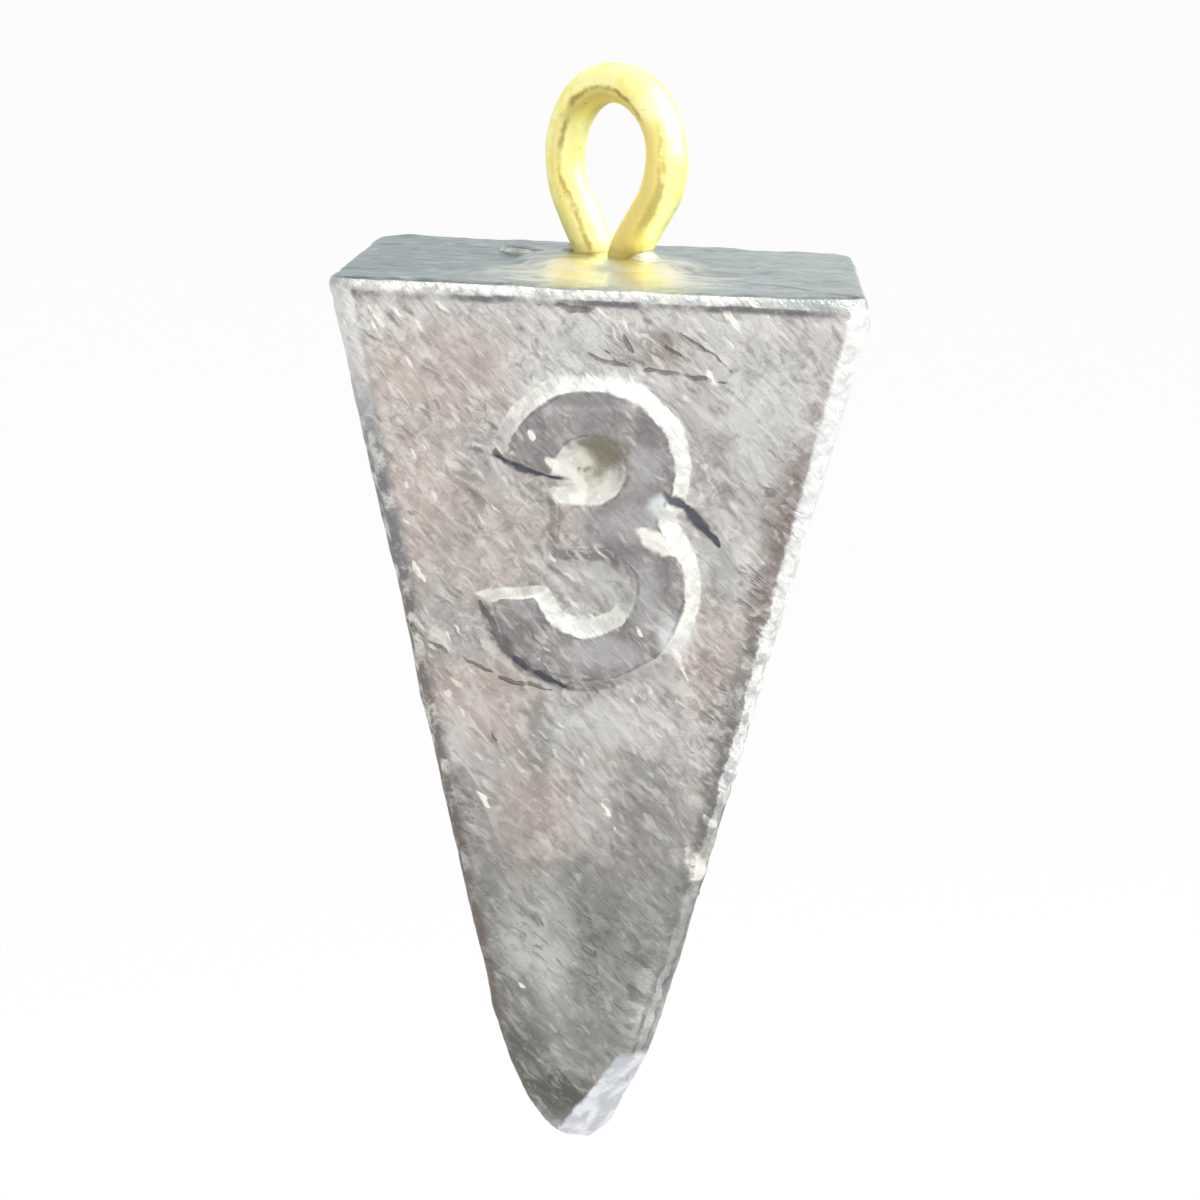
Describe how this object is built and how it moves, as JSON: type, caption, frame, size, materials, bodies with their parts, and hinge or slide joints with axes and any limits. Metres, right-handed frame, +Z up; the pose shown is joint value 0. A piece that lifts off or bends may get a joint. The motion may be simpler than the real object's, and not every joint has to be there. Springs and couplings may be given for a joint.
{
  "type": "fishing sinker",
  "caption": "Square pyramid lead fishing sinker that hangs point down from a cast-in brass wire eye, with its weight numeral raised on the front face.",
  "frame": {"origin": "where the line bears, on the inside of the eye's crown", "axes": "+Z up along the line, away from the point; -Y out of the face with the numeral; +X to the right as that face is read"},
  "size_m": [0.022, 0.022, 0.0479],
  "materials": {
    "cast_lead": "as cast lead, dull grey with flow marks",
    "eye_wire": "bright drawn wire"
  },
  "bodies": {
    "root": {"lead_body": "cast_lead", "wire_eye": "eye_wire"}
  },
  "joints": []
}
